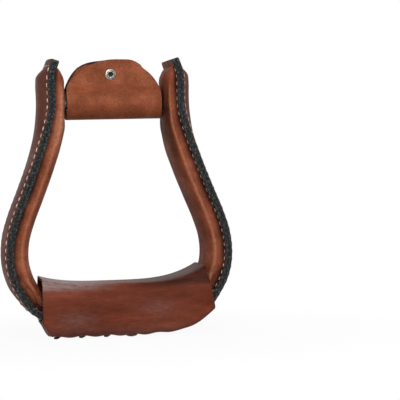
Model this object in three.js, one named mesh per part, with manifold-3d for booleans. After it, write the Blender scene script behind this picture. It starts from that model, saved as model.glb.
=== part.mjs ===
// A western stirrup: a bent hardwood bell frame with a tread block, dressed in stitched leather,
// with a rolled bar at the neck that carries a riveted leather sleeve.
// Millimetres, +Z up. The foot goes through along Y, the front looks towards -Y, and X runs across.
import * as THREE from "three";
import { mergeVertices } from "three/addons/utils/BufferGeometryUtils.js";
import Module from "manifold-3d";

const wasm = await Module();
wasm.setup();

// Driving dimensions of the whole stirrup
const overallHeight = 215; // from the ground to the top ends of the strap
const bellWidth = 169.4; // across the seam line, where the bell is widest
const seat = 0.3; // clearance left between two pieces that touch

// Leather
const strapWidth = 50;
const strapThickness = 2.7;
const liningThickness = 2.5;
const treadCoverThickness = 2.6;
const treadEase = 0.9; // room left beside the strap inside the tread cover
const sleeveThickness = 2.6;
const strapCorner = 4; // rounding of the strap's cut ends
const seamInset = 3.7; // from the strap's edge to the row of stitches
const endSeamInset = 5.8; // from the strap's cut end to the row across it
const threadDiameter = 1;
const laceDiameter = 1.7;

// Wooden frame and tread block
const seamFlange = 8; // what the strap stands out beside the frame, for the seam
const coreWidth = strapWidth - 2 * seamFlange;
const coreThickness = 11.6;
const neckCoreThickness = 8.7;
const neckBelowBolt = 18; // where the frame starts to thin for the neck, along the seam line
const neckRun = 15; // length over which it thins
const crownPower = 3.2; // of the frame's rounded inner side: 2 is an ellipse, more is squarer
const coreEdge = 3.5; // height of the frame's square edge, below its rounded inner face
const backFlare = 3; // how much thicker the arms are at the back, so that the opening widens to the front
const flareLowRun = 28; // length over which this sets in above the tread cover
const flareTop = 12; // where it has died out below the bolt, clear of the sleeve
const flareTopRun = 26;
const treadCoreInset = 0.5; // from the strap's edge to the frame's, where the tread block sits on it
const treadCoreWidth = strapWidth - 2 * treadCoreInset;
const coreBelowTop = 18; // from the strap's top ends down to the frame's
const coreEndHeight = overallHeight - coreBelowTop;
const blockHalfLength = 50; // along the seam line, at the block's underside
const blockEndGap = 8.5; // from the block's top to the end of the tread cover

// Tread cover
const treadHeight = 41.5; // top of the tread at mid span
const leftRise = 5.5; // how much higher the cover's top is at its ends
const rightRise = 12;
const leftCurve = 2.2; // powers of the top's rise towards its ends
const rightCurve = 3.4;
const treadDepth = strapWidth + 2 * (treadCoverThickness + treadEase);
const leftEndRoom = 23.2; // across, from the cover's top ends to the widest part of the bell
const rightEndRoom = 18.5;
const leftTreadTop = bellWidth / 2 - leftEndRoom; // from the middle to the cover's ends, along its top
const rightTreadTop = bellWidth / 2 - rightEndRoom;
const leftReach = 60; // from the middle to the cover's ends, along the seam line
const rightReach = 72;
const leftFall = 8.5; // length over which the cover's end comes down from the strap to the ground
const rightFall = 60;
const leftSlack = leftReach - leftFall;
const rightSlack = rightReach - rightFall;
const treadTopRounding = 9;
const treadBottomRounding = 9;
const treadEndRounding = 3.5;
const treadCrown = 0.8; // how far the cover's faces stand out at their middle
const laceSlot = 3; // gap between the cover's two laced edges
const laceBand = 2.2; // how far the laced edges are drawn up above the ground
const laceTurns = 4;
const leftLaceMargin = 0.5; // from the ends of the cover's level stretch in to the lace's ends
const rightLaceMargin = 5;
const firstLace = leftLaceMargin - leftSlack; // across the stirrup
const lastLace = rightSlack - rightLaceMargin;
const lacePitch = (lastLace - firstLace) / (laceTurns - 1);
const laceReach = 6.5; // from the middle of the slot to each row of lace holes
const laceFromFront = treadBottomRounding + laceReach; // from the front face to the slot's middle

// Bar at the neck
const boltBelowTop = 34.5; // from the strap's top ends down to the bolt
const boltHeight = overallHeight - boltBelowTop;
const boltDiameter = 8;
const boltHeadDiameter = 17;
const boltHeadHeight = 4.6;
const nutAcrossFlats = 13;
const nutThickness = 5;
const washerDiameter = 20;
const washerThickness = 1.5;
const rollerDiameter = 19;
const rollerEndGap = 2.2;
const sleeveEndGap = 1.2;
const sleevePinchShare = 1.53; // of the fold's radius: how far above the bar's axis the flaps meet
const flapRound = 27; // height of the flaps' half-round tops
const rivetBelowTop = 11; // from the flaps' tops down to the rivet
const rivetAcross = -1.5; // from the flaps' middle
const rivetClear = 1.1; // from where the flaps meet up to the rivet's head
const rivetShank = 4;
const rivetHeadDiameter = 8.8;
const rivetHeadHeight = 1.5;
const rivetRingDiameter = 6.4;
const rivetRingThickness = 0.9;
const rivetBore = 2.8;
const rivetWasherDiameter = 8.6;
const rivetWasherThickness = 0.7;

// The strap's crown over the frame, and its swelling over the upper arms and the bolt's ends
const strapCrown = 2;
const crownRun = 20; // length over which the crown sets in above the tread cover
const crownShareAtNut = 0.6; // of the crown, over the nut's corners
const swellClear = 0.7; // room over the nut
const swellHeight = nutThickness + swellClear - crownShareAtNut * strapCrown;
const swellBelow = 76; // how far below the bolt it starts, along the seam line
const swellAbove = 27.5; // how far above the bolt it ends
const swellFall = 7.5; // length over which it ends
const swellSpread = 3.5; // how far it reaches into the flange beside the frame
const swellHalfWidth = coreWidth / 2 + swellSpread;
const swellFlatShare = 0.5; // of its half width

// Screws that hold the tread block
const screwRoof = 4; // wood left above the screws' tips
const screwShank = 4;
const screwHeadDiameter = 8;
const screwHeadHeight = 3;
const screwSpacing = 60; // across the stirrup
const screwRowSpacing = 22; // front row to back row

const overrun = 5; // how far a cutter passes beyond what it cuts
const roundSides = 24;
const smallSides = 16;

// The seam line runs between strap and lining. Under the tread it lies just above the cover and its lace.
const strapInside = seat / 2; // outwards of the seam line
const strapOutside = strapInside + strapThickness;
const seamBottom = laceBand + treadCoverThickness + laceDiameter + 2 * seat + strapOutside;

// Its outline from mid tread up to the right-hand end: shares of half the bell's width, and of the height
// above its lowest stretch.
const outlineShares = [
  [0, 0], [0.16, 0], [0.3, 0.0002], [0.41, 0.0016], [0.51, 0.0061], [0.6, 0.0154], [0.68, 0.0298],
  [0.75, 0.0471], [0.81, 0.0664], [0.863, 0.0959], [0.908, 0.1268], [0.95, 0.1595], [0.988, 0.2113],
  [1, 0.2669], [0.983, 0.3351], [0.928, 0.4106], [0.849, 0.4924], [0.772, 0.5731], [0.708, 0.6466],
  [0.653, 0.7126], [0.614, 0.7693], [0.592, 0.8175], [0.59, 0.8658], [0.592, 0.9035], [0.5825, 0.9455],
  [0.5423, 0.9942],
];
const rightSide = outlineShares.map(
  ([across, up]) =>
    new THREE.Vector3((across * bellWidth) / 2, 0, THREE.MathUtils.lerp(seamBottom, overallHeight, up)),
);
const leftSide = rightSide
  .slice(1)
  .reverse()
  .map((point) => new THREE.Vector3(-point.x, 0, point.z));
const seamLine = new THREE.CatmullRomCurve3([...leftSide, ...rightSide], false, "centripetal");
seamLine.arcLengthDivisions = 1600;
const halfSeam = seamLine.getLength() / 2;

// The seam line's point and outward direction at a distance from mid tread, positive to the right.
function seamAt(distance) {
  const share = THREE.MathUtils.clamp((1 + distance / halfSeam) / 2, 0, 1);
  const tangent = seamLine.getTangentAt(share);
  return {
    point: seamLine.getPointAt(share),
    outward: new THREE.Vector3(tangent.z, 0, -tangent.x),
  };
}

// A point off the seam line: so far along it, so far outwards, and so far across the strap.
function offSeam(distance, outwards, across) {
  const { point, outward } = seamAt(distance);
  return point.clone().addScaledVector(outward, outwards).setY(across);
}

// The distance along the seam line at which its right-hand side reaches a height.
function distanceAtHeight(height) {
  let low = 0;
  let high = halfSeam;
  for (let step = 0; step < roundSides * 2; step += 1) {
    const middle = (low + high) / 2;
    if (seamAt(middle).point.z < height) low = middle;
    else high = middle;
  }
  return low;
}

const boltDistance = distanceAtHeight(boltHeight);
const coreEnd = distanceAtHeight(coreEndHeight);
const liningStart = blockHalfLength + coreThickness; // hidden under the tread cover
const shoulderLead = 1.5; // how far below the frame's end the lining's round shoulder starts
const shoulderLength = 13.5;
const liningCrownEnd = coreEnd - shoulderLead;
const shoulderShares = [0, 0.35, 0.6, 0.8, 0.93, 1];
const swellEnd = boltDistance + swellAbove;
const cornerShares = [1, 0.6, 0.25, 0];
const neckStart = boltDistance - neckBelowBolt;

const evenly = (from, to, steps) =>
  Array.from({ length: steps + 1 }, (_, i) => THREE.MathUtils.lerp(from, to, i / steps));

// Every layer is skinned through the same places along the seam line, so that the layers lie parallel.
const stations = [
  ...evenly(0, blockHalfLength, 4),
  ...evenly(blockHalfLength, liningStart, 2),
  ...evenly(liningStart, neckStart, 22),
  ...evenly(neckStart, neckStart + neckRun, 5),
  ...evenly(neckStart + neckRun, liningCrownEnd, 4),
  coreEnd,
  ...shoulderShares.map((share) => liningCrownEnd + share * shoulderLength),
  ...evenly(swellEnd - swellFall, swellEnd, 2),
  ...cornerShares.map((share) => halfSeam - share * strapCorner),
]
  .sort((a, b) => a - b)
  .filter((place, i, all) => i === 0 || place - all[i - 1] > seat / 2);
const stationsWithin = (from, to) => stations.filter((place) => place >= from && place <= to);
const bothWays = (places) => [...places.slice(1).map((place) => -place).reverse(), ...places];

function signedVolume(positions, faces) {
  const corner = (index) => new THREE.Vector3().fromArray(positions, index * 3);
  let volume = 0;
  for (let i = 0; i < faces.length; i += 3)
    volume += corner(faces[i]).dot(corner(faces[i + 1]).cross(corner(faces[i + 2])));
  return volume;
}

// Skins a row of closed rings into one solid. A ring's second half runs back beside its first half, so its
// two ends are closed by a strip of quads between the halves.
function skin(rings) {
  const count = rings[0].length;
  const positions = rings.flat().flatMap((point) => point.toArray());
  const faces = [];
  const quad = (a, b, c, d) => faces.push(a, b, c, a, c, d);
  for (let row = 0; row < rings.length - 1; row += 1)
    for (let i = 0; i < count; i += 1) {
      const start = row * count;
      const next = (i + 1) % count;
      quad(start + i, start + next, start + count + next, start + count + i);
    }
  const last = (rings.length - 1) * count;
  for (let i = 0; i < count / 2 - 1; i += 1) {
    const back = count - 1 - i;
    quad(i, back, back - 1, i + 1);
    quad(last + i, last + i + 1, last + back - 1, last + back);
  }
  if (signedVolume(positions, faces) < 0) faces.reverse();
  const geometry = new THREE.BufferGeometry();
  geometry.setAttribute("position", new THREE.Float32BufferAttribute(positions, 3));
  geometry.setIndex(faces);
  return geometry;
}

function toSolid(geometry) {
  const bare = new THREE.BufferGeometry();
  bare.setAttribute("position", geometry.getAttribute("position"));
  if (geometry.index) bare.setIndex(geometry.index);
  const merged = mergeVertices(bare);
  return new wasm.Manifold(
    new wasm.Mesh({
      numProp: 3,
      vertProperties: new Float32Array(merged.attributes.position.array),
      triVerts: new Uint32Array(merged.index.array),
    }),
  );
}

function fromSolid(solid) {
  const mesh = solid.getMesh();
  const geometry = new THREE.BufferGeometry();
  geometry.setAttribute("position", new THREE.BufferAttribute(mesh.vertProperties, mesh.numProp));
  geometry.setIndex(new THREE.BufferAttribute(mesh.triVerts, 1));
  return geometry;
}

function cut(geometry, tools) {
  const left = tools.reduce((solid, tool) => solid.subtract(toSolid(tool)), toSolid(geometry));
  return fromSolid(left);
}

// A turned piece from a closed profile of [radius, height], with its axis laid along X, Y or Z.
function turned(profile, axis, sides) {
  const points = profile.map(([radius, along]) => new THREE.Vector2(radius, along));
  const geometry = new THREE.LatheGeometry(points, sides);
  if (axis === "x") geometry.rotateZ(-Math.PI / 2);
  if (axis === "z") geometry.rotateX(Math.PI / 2);
  return geometry;
}

// A plain round bar between two places along an axis.
function rod(diameter, axis, ends, sides) {
  const radius = diameter / 2;
  const [low, high] = [Math.min(...ends), Math.max(...ends)];
  return turned([[0, low], [radius, low], [radius, high], [0, high]], axis, sides);
}

// A round bar with a hole through it.
function ringBar(outerDiameter, holeDiameter, axis, ends, sides) {
  const outer = outerDiameter / 2;
  const hole = holeDiameter / 2;
  const [low, high] = [Math.min(...ends), Math.max(...ends)];
  return turned([[hole, low], [outer, low], [outer, high], [hole, high], [hole, low]], axis, sides);
}

// Stands a row of flat points off by a distance, to the left of the way it runs.
function standOff(row, distance) {
  const sideOf = (a, b) => new THREE.Vector2(a.y - b.y, b.x - a.x).normalize();
  return row.map((point, i) => {
    const before = i > 0 ? sideOf(row[i - 1], point) : sideOf(point, row[i + 1]);
    const after = i < row.length - 1 ? sideOf(point, row[i + 1]) : before;
    const middle = before.clone().add(after).normalize();
    return point.clone().addScaledVector(middle, distance / middle.dot(before));
  });
}

// Points of an arc, with angles in turns.
function arc(x, y, radius, fromTurn, toTurn, steps) {
  return evenly(fromTurn * 2 * Math.PI, toTurn * 2 * Math.PI, steps).map(
    (angle) => new THREE.Vector2(x + radius * Math.cos(angle), y + radius * Math.sin(angle)),
  );
}

const stirrup = new THREE.Group();

function addPiece(name, geometry, colour, roughness, metalness, parent = stirrup) {
  geometry.computeVertexNormals();
  const material = new THREE.MeshStandardMaterial({ color: colour, roughness, metalness });
  const mesh = new THREE.Mesh(geometry, material);
  mesh.name = name;
  parent.add(mesh);
  return mesh;
}

const strapBrown = 0x6e3c2d;
const liningBrown = 0x935540;
const treadBrown = 0x70382a;
const sleeveBrown = 0x8f5035;
const threadCream = 0xc8a89a;
const laceBrown = 0x4a2a22;
const hardwood = 0xb98f63;
const zincSteel = 0xa8abad;
const rivetNickel = 0xc9cbcc;

const halfStrap = strapWidth / 2;
const coreOutside = -seat / 2;

// How thick the wooden frame is: full at the bell, thinner at the neck.
function coreThicknessAt(distance) {
  const thinning = THREE.MathUtils.smoothstep(Math.abs(distance), neckStart, neckStart + neckRun);
  return THREE.MathUtils.lerp(coreThickness, neckCoreThickness, thinning);
}

// How much thicker the frame is, from nothing at its front edge, share -1, to all at its back edge, share 1.
function flareAt(distance, share) {
  const place = Math.abs(distance);
  const above = THREE.MathUtils.smoothstep(place, rightReach, rightReach + flareLowRun);
  const topEnd = boltDistance - flareTop;
  const below = 1 - THREE.MathUtils.smoothstep(place, topEnd - flareTopRun, topEnd);
  return backFlare * above * below * THREE.MathUtils.inverseLerp(-1, 1, share);
}

// 1 where the frame is wide and square under the tread block, 0 on its sides.
function underTread(distance) {
  return 1 - THREE.MathUtils.smoothstep(Math.abs(distance), blockHalfLength, liningStart);
}

// Wooden frame: one bent strip, flat outside, rounded inside, square under the tread.
const crownAngles = evenly(Math.PI, 0, 6);
const crownAcross = (angle) => Math.sign(Math.cos(angle)) * Math.abs(Math.cos(angle)) ** (2 / crownPower);
const crownRise = (angle) => Math.abs(Math.sin(angle)) ** (2 / crownPower);
function coreRing(distance) {
  const flat = underTread(distance);
  const half = THREE.MathUtils.lerp(coreWidth, treadCoreWidth, flat) / 2;
  const thickness = coreThicknessAt(distance);
  const edge = THREE.MathUtils.lerp(coreEdge, thickness, flat);
  const outerRow = crownAngles.map((angle) => offSeam(distance, coreOutside, half * crownAcross(angle)));
  const innerRow = crownAngles.map((angle) => {
    const share = crownAcross(angle);
    const depth = edge + (thickness - edge + flareAt(distance, share)) * crownRise(angle);
    return offSeam(distance, coreOutside - depth, half * share);
  });
  return [...outerRow, ...innerRow.reverse()];
}
const boltHole = boltDiameter + 2 * seat;
const seamAtBolt = seamAt(boltDistance).point.x;
const coreFaceAtBolt = seamAtBolt + coreOutside;
const washerFloor = coreFaceAtBolt - washerThickness - 2 * seat; // bottom of the washer's pocket
const mirrored = [-1, 1];
const counterbores = mirrored.map((side) =>
  rod(washerDiameter + 2 * seat, "x", [side * washerFloor, side * (coreFaceAtBolt + overrun)], roundSides),
);
const boltTunnel = rod(boltHole, "x", [-seamAtBolt - overrun, seamAtBolt + overrun], smallSides);
[...counterbores, boltTunnel].forEach((tool) => tool.translate(0, 0, boltHeight));

const coreBottom = seamBottom - coreOutside;
const blockUnder = treadCoverThickness + 3 * seat; // from the cover's top down to the block's
const screwPlaces = mirrored.flatMap((side) =>
  mirrored.map((row) => [(side * screwSpacing) / 2, (row * screwRowSpacing) / 2]),
);
// A screw's outline, grown by a clearance for the hole that it sits in. Heights start at the head's face.
function screwProfile(clearance, end) {
  const head = screwHeadDiameter / 2 + clearance;
  const shank = screwShank / 2 + clearance;
  return [[0, 0], [head, 0], [shank, screwHeadHeight], [shank, end], [0, end]];
}
const screwFace = coreBottom + seat; // the heads are sunk a little into the frame
const screwLength = treadHeight - blockUnder - screwRoof - screwFace;
const screwHoles = screwPlaces.map(([x, y]) => {
  const [, rim, ...below] = screwProfile(seat, screwLength + seat);
  const outline = [[0, -overrun], [rim[0], -overrun], rim, ...below];
  return turned(outline, "z", smallSides).translate(x, y, screwFace);
});
const frameBlank = skin(bothWays(stationsWithin(0, coreEnd)).map(coreRing));
addPiece("wood_frame", cut(frameBlank, [...counterbores, boltTunnel, ...screwHoles]), hardwood, 0.75, 0);

// Outer strap: one long strip of leather, crowned over the frame. It swells slowly up the arms, fully over
// the bolt's two ends, and drops back to the linings just below its own ends.
function swell(distance, across) {
  const fromBolt = Math.abs(distance) - boltDistance;
  const up = THREE.MathUtils.clamp((fromBolt + swellBelow) / swellBelow, 0, 1) ** 2;
  const down = THREE.MathUtils.smoothstep(fromBolt, swellAbove - swellFall, swellAbove);
  const sideways = THREE.MathUtils.smoothstep(Math.abs(across) / swellHalfWidth, swellFlatShare, 1);
  const overBolt = swellHeight * THREE.MathUtils.smoothstep(up, 0, 1) * (1 - sideways);
  const free = THREE.MathUtils.smoothstep(Math.abs(distance), rightReach, rightReach + crownRun);
  return overBolt * (1 - down) + strapCrown * free * (1 - (across / halfStrap) ** 2);
}
// Half the strap's width, with its corners rounded off at the cut ends.
function halfWidthAt(distance) {
  const intoCorner = Math.max(0, strapCorner - (halfSeam - Math.abs(distance)));
  return halfStrap - strapCorner + Math.sqrt(Math.max(0, strapCorner ** 2 - intoCorner ** 2));
}
const strapRowShares = [-1, -0.82, -0.72, -0.6, -0.41, 0, 0.41, 0.6, 0.72, 0.82, 1];
function strapRing(distance) {
  const row = (outwards) =>
    strapRowShares.map((share) => {
      const across = share * halfWidthAt(distance);
      return offSeam(distance, outwards + swell(distance, across), across);
    });
  return [...row(strapOutside), ...row(strapInside).reverse()];
}
addPiece("outer_strap", skin(bothWays(stations).map(strapRing)), strapBrown, 0.45, 0);

// Linings: leather moulded over the frame's inner face, with a flat flange that is sewn to the strap.
const liningFace = -seat / 2; // the flange's face against the strap
const flangeFilletShare = 0.4; // of the lining's thickness, where the flange meets the moulded side
const flangeFillet = liningThickness * flangeFilletShare;
function liningRing(side, distance) {
  const intoShoulder = THREE.MathUtils.clamp((distance - liningCrownEnd) / shoulderLength, 0, 1);
  const mould = Math.sqrt(1 - intoShoulder ** 2);
  const crown = coreThicknessAt(distance) - coreEdge;
  const half = halfWidthAt(distance);
  const hiddenHalf = coreWidth / 2 + seat;
  const shownHalf = hiddenHalf + liningThickness;
  const point = (depth, across) => offSeam(side * distance, liningFace - depth, across);
  const dome = (halfAcross, base, rise) =>
    crownAngles.map((angle) => {
      const share = crownAcross(angle);
      const height = rise + flareAt(distance, share);
      return point(base + mould * (coreEdge + height * crownRise(angle)), halfAcross * share);
    });
  const hidden = [
    point(0, -half), point(0, -hiddenHalf), ...dome(hiddenHalf, 0, crown + seat),
    point(0, hiddenHalf), point(0, half),
  ];
  const shownBase = liningThickness * (1 - mould);
  const shown = [
    point(liningThickness, -half), point(liningThickness, -shownHalf - flangeFillet),
    ...dome(shownHalf, shownBase, crown + seat + liningThickness),
    point(liningThickness, shownHalf + flangeFillet), point(liningThickness, half),
  ];
  return [...hidden, ...shown.reverse()];
}
[["inner_cover_left", -1], ["inner_cover_right", 1]].forEach(([name, side]) => {
  const blank = skin(stationsWithin(liningStart, halfSeam).map((distance) => liningRing(side, distance)));
  addPiece(name, cut(blank, [boltTunnel]), liningBrown, 0.7, 0);
});

// Seam threads: one run up one edge of the strap, across its end and down the other edge.
const threadLift = strapOutside + seat + threadDiameter / 2;
const threadAcross = halfStrap - seamInset;
const threadTop = halfSeam - endSeamInset;
const threadCorner = strapCorner - threadDiameter; // the row's rounding where it turns across
function seamThread(side) {
  const start = (side < 0 ? leftReach : rightReach) + treadCoverThickness;
  const up = evenly(start, threadTop - threadCorner, 34).map((s) => [s, -threadAcross]);
  const turn = arc(-threadAcross + threadCorner, threadTop - threadCorner, threadCorner, 0.5, 0.25, 2)
    .slice(1)
    .map((p) => [p.y, p.x]);
  const half = [...up, ...turn];
  const straightAcross = strapRowShares
    .map((share) => [threadTop, share * halfStrap])
    .filter(([, y]) => Math.abs(y) < threadAcross - threadCorner - seat);
  const path = [...half, ...straightAcross, ...half.map(([s, y]) => [s, -y]).reverse()];
  const rings = path.map(([s, y], i) => {
    const [fromS, fromY] = path[Math.max(0, i - 1)];
    const [toS, toY] = path[Math.min(path.length - 1, i + 1)];
    const way = new THREE.Vector2(toS - fromS, toY - fromY).normalize();
    const corner = (sideways, lift) =>
      offSeam(
        side * (s - way.y * sideways),
        threadLift + swell(s, y) + lift,
        y + way.x * sideways,
      );
    const r = threadDiameter / 2;
    return [corner(-r, 0), corner(0, r), corner(r, 0), corner(0, -r)];
  });
  return skin(rings);
}
addPiece("seam_thread_left", seamThread(-1), threadCream, 0.8, 0);
addPiece("seam_thread_right", seamThread(1), threadCream, 0.8, 0);

// Tread cover: leather wrapped round the tread and the strap, its edges laced together underneath.
// Places on it are distances along the seam line; its two ends reach differently far.
const halfTread = treadDepth / 2;
function treadTopAt(x) {
  const [reach, rise, curve] =
    x < 0 ? [leftTreadTop, leftRise, leftCurve] : [rightTreadTop, rightRise, rightCurve];
  return treadHeight + rise * Math.abs(x / reach) ** curve;
}
// 1 where the cover lies on the ground, 0 where it is snug on the strap at its ends.
function slackAt(along) {
  const [slack, reach] = along < 0 ? [leftSlack, leftReach] : [rightSlack, rightReach];
  return 1 - THREE.MathUtils.smoothstep(Math.abs(along), slack, reach);
}
const coverOutside = strapOutside + seat + treadCoverThickness;
const slotMiddle = laceFromFront - halfTread;
const laceSlantShare = 0.2; // of the pitch: how far the lace moves along where it crosses the slot outside
const laceSlant = lacePitch * laceSlantShare;
const firstDrawn = firstLace + laceSlant / 2;
const lastDrawn = firstDrawn + (laceTurns - 1) * lacePitch;
const puffShare = 0.35; // how high the laced edges still are where they puff out between two turns
// The cover's outside in its own slanting plane, from the slot's front edge round to its back edge.
function coverRow(along, height) {
  const slack = slackAt(along);
  const drawn = Math.cos((Math.PI * (along - firstDrawn)) / lacePitch) ** 2;
  const band = laceBand * slack * THREE.MathUtils.lerp(puffShare, 1, drawn);
  const bottom = THREE.MathUtils.lerp(treadEndRounding, treadBottomRounding, slack);
  const top = treadTopRounding;
  const flat = (x, y) => new THREE.Vector2(x, y);
  return [
    flat(slotMiddle - laceSlot / 2, band),
    ...arc(bottom - band - halfTread, bottom, bottom - band, 0.75, 0.5, 3),
    flat(-halfTread - treadCrown, height / 2),
    ...arc(top - halfTread, height - top, top, 0.5, 0.25, 3),
    flat(0, height + treadCrown / 2),
    ...arc(halfTread - top, height - top, top, 0.25, 0, 3),
    flat(halfTread + treadCrown, height / 2),
    ...arc(halfTread - bottom, bottom, bottom, 0, -0.25, 3),
    flat(laceSlot, 0),
    flat(slotMiddle + laceReach + laceSlot, band),
    flat(slotMiddle + laceSlot / 2, band),
  ];
}
function coverRing(along) {
  const snug = offSeam(along, coverOutside, 0);
  const bottom = snug.clone().lerp(new THREE.Vector3(snug.x, 0, 0), slackAt(along));
  const topX = along < 0 ? (along / leftReach) * leftTreadTop : (along / rightReach) * rightTreadTop;
  const upwards = new THREE.Vector3(topX, 0, treadTopAt(topX)).sub(bottom);
  const row = coverRow(along, upwards.length());
  upwards.normalize();
  const inPlace = (flat) => bottom.clone().addScaledVector(upwards, flat.y).setY(flat.x);
  const inner = standOff(row, -treadCoverThickness);
  return [...row.map(inPlace), ...inner.reverse().map(inPlace)];
}
const coverPlaces = [
  -leftReach,
  (firstDrawn - leftReach) / 2,
  ...evenly(firstDrawn, lastDrawn, 2 * (laceTurns - 1)),
  ...evenly(lastDrawn, rightReach, 9).slice(1),
];
const coverBlank = skin(coverPlaces.map(coverRing));

// Lace: one thong in a helix through both rows of holes, slanting a little where it crosses outside.
const laceRadius = laceDiameter / 2;
const laceLow = laceRadius;
const laceHigh = laceBand + treadCoverThickness + seat + laceRadius;
const laceStarts = evenly(firstLace, lastDrawn - laceSlant / 2, laceTurns - 1);
const frontHoles = slotMiddle - laceReach;
const backHoles = slotMiddle + laceReach;
const laceHoles = laceStarts.flatMap((x) => [[x, frontHoles], [x + laceSlant, backHoles]]);
const holeCutters = laceHoles.map(([x, y]) =>
  rod(laceDiameter + 4 * seat, "z", [-overrun, laceHigh], 8).translate(x, y, 0),
);
addPiece("tread_cover", cut(coverBlank, holeCutters), treadBrown, 0.5, 0);

const laceRoute = laceStarts.flatMap((x, turn) => {
  const loop = [
    [x, frontHoles, laceHigh], [x, frontHoles, laceLow], [x + laceSlant, backHoles, laceLow],
    [x + laceSlant, backHoles, laceHigh],
  ];
  return turn ? loop : loop.slice(1);
});
const laceCornerShare = 0.6;
const laceCorner = laceDiameter * laceCornerShare;
// The route with each of its corners cut by a short chord, so that the thong bends round it.
const lacePath = laceRoute.flatMap(([x, y, z], i) => {
  const here = new THREE.Vector3(x, y, z);
  if (i === 0 || i === laceRoute.length - 1) return [here];
  return [laceRoute[i - 1], laceRoute[i + 1]].map((other) => {
    const way = new THREE.Vector3(...other).sub(here);
    return here.clone().addScaledVector(way.normalize(), laceCorner);
  });
});
const laceRings = lacePath.map((point, i) => {
  const before = lacePath[Math.max(0, i - 1)];
  const after = lacePath[Math.min(lacePath.length - 1, i + 1)];
  const way = after.clone().sub(before).normalize();
  const side = new THREE.Vector3(1, 0, 0).addScaledVector(way, -way.x).normalize();
  const lift = way.clone().cross(side);
  return evenly(0, 2 * Math.PI, 6)
    .slice(1)
    .map((angle) =>
      point
        .clone()
        .addScaledVector(side, laceRadius * Math.cos(angle))
        .addScaledVector(lift, laceRadius * Math.sin(angle)),
    );
});
addPiece("tread_lace", skin(laceRings), laceBrown, 0.7, 0);

// Tread block: hardwood, screwed to the frame from below and shaped to carry the cover.
const blockHalfWidth = halfTread - treadCoverThickness - seat;
const blockRounding = treadTopRounding - treadCoverThickness;
const blockTopHalf = Math.min(leftTreadTop, rightTreadTop) - blockEndGap;
function blockRing(share) {
  const bottom = offSeam(share * blockHalfLength, coreOutside - coreThickness - seat, 0);
  const topX = share * blockTopHalf;
  const topHeight = treadTopAt(topX) - blockUnder;
  const top = new THREE.Vector3(topX, 0, topHeight);
  const upwards = top.clone().sub(bottom);
  const height = upwards.length();
  upwards.normalize();
  const inPlace = (x, y) => bottom.clone().addScaledVector(upwards, y).setY(x);
  const left = arc(blockRounding - blockHalfWidth, height - blockRounding, blockRounding, 0.5, 0.25, 2);
  const row = [...left, ...left.map((p) => new THREE.Vector2(-p.x, p.y)).reverse()];
  return [...row.map((p) => inPlace(p.x, p.y)), ...row.reverse().map((p) => inPlace(p.x, 0))];
}
const blockBlank = skin(evenly(-1, 1, 18).map(blockRing));
addPiece("tread_block", cut(blockBlank, screwHoles), hardwood, 0.75, 0);

const screwNames = ["tread_screw_1", "tread_screw_2", "tread_screw_3", "tread_screw_4"];
screwNames.forEach((name, i) => {
  const screw = addPiece(name, turned(screwProfile(0, screwLength), "z", smallSides), zincSteel, 0.4, 0.9);
  screw.position.set(...screwPlaces[i], screwFace);
});

// Bar: a bolt through both sides of the frame, with the roller that turns on it.
const bar = new THREE.Group();
bar.position.z = boltHeight;
stirrup.add(bar);
const washerInside = washerFloor + seat;
const headSeat = washerInside + washerThickness + seat;
const headRadius = boltHeadDiameter / 2;
const shankRadius = boltDiameter / 2;
const boltEnd = headSeat + nutThickness;
const headProfile = arc(0, 0, 1, 0.25, 0, 4).map((unit) => [
  headRadius * unit.x,
  -headSeat - boltHeadHeight * unit.y,
]);
const boltProfile = [...headProfile, [shankRadius, -headSeat], [shankRadius, boltEnd], [0, boltEnd]];
addPiece("hanger_bolt", turned(boltProfile, "x", roundSides), zincSteel, 0.4, 0.9, bar);
mirrored.forEach((side) => {
  const name = side < 0 ? "bolt_washer_left" : "bolt_washer_right";
  const ends = [side * washerInside, side * (washerInside + washerThickness)];
  addPiece(name, ringBar(washerDiameter, boltHole, "x", ends, roundSides), zincSteel, 0.4, 0.9, bar);
});
const nutBlank = rod(nutAcrossFlats / Math.cos(Math.PI / 6), "x", [headSeat, boltEnd], 6);
const nutHole = rod(boltHole, "x", [headSeat - overrun, boltEnd + overrun], smallSides);
addPiece("hanger_nut", cut(nutBlank, [nutHole]), zincSteel, 0.4, 0.9, bar);

const neckHalfGap = Math.min(
  ...mirrored.map((side) => {
    const place = boltDistance + (side * rollerDiameter) / 2;
    const depth = coreThicknessAt(place) + seat + liningThickness;
    return offSeam(place, liningFace - depth, 0).x;
  }),
);
const rollerHalf = neckHalfGap - rollerEndGap;
const roller = ringBar(rollerDiameter, boltHole, "x", [-rollerHalf, rollerHalf], roundSides);
addPiece("bar_roller", roller, hardwood, 0.6, 0, bar);

// Sleeve: a strip of leather folded round the roller, its two half-round flaps riveted together above.
const foldRadius = rollerDiameter / 2 + seat + sleeveThickness / 2;
const flapMiddle = (seat + sleeveThickness) / 2;
const sleevePinch = foldRadius * sleevePinchShare;
const rivetUp = sleevePinch + rivetClear + rivetHeadDiameter / 2; // heights above the bar's axis
const flapTop = rivetUp + rivetBelowTop;
const foldHandleShare = 0.6; // how fully the flaps keep their fold before they meet
const backFlap = new THREE.CubicBezierCurve(
  new THREE.Vector2(foldRadius, 0),
  new THREE.Vector2(foldRadius, sleevePinch * foldHandleShare),
  new THREE.Vector2(flapMiddle, sleevePinch * foldHandleShare),
  new THREE.Vector2(flapMiddle, sleevePinch),
).getPoints(6);
const underBar = arc(0, 0, foldRadius, -0.25, 0, 6);
const backHalf = [...underBar, ...backFlap.slice(1), new THREE.Vector2(flapMiddle, flapTop)];
const frontHalf = backHalf.slice(1).map((p) => new THREE.Vector2(-p.x, p.y)).reverse();
const foldRow = [...frontHalf, ...backHalf];
const foldInside = standOff(foldRow, sleeveThickness / 2);
const foldOutside = standOff(foldRow, -sleeveThickness / 2);
const foldRing = [...foldInside, ...foldOutside.reverse()];
const halfSleeve = neckHalfGap - sleeveEndGap;
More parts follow.
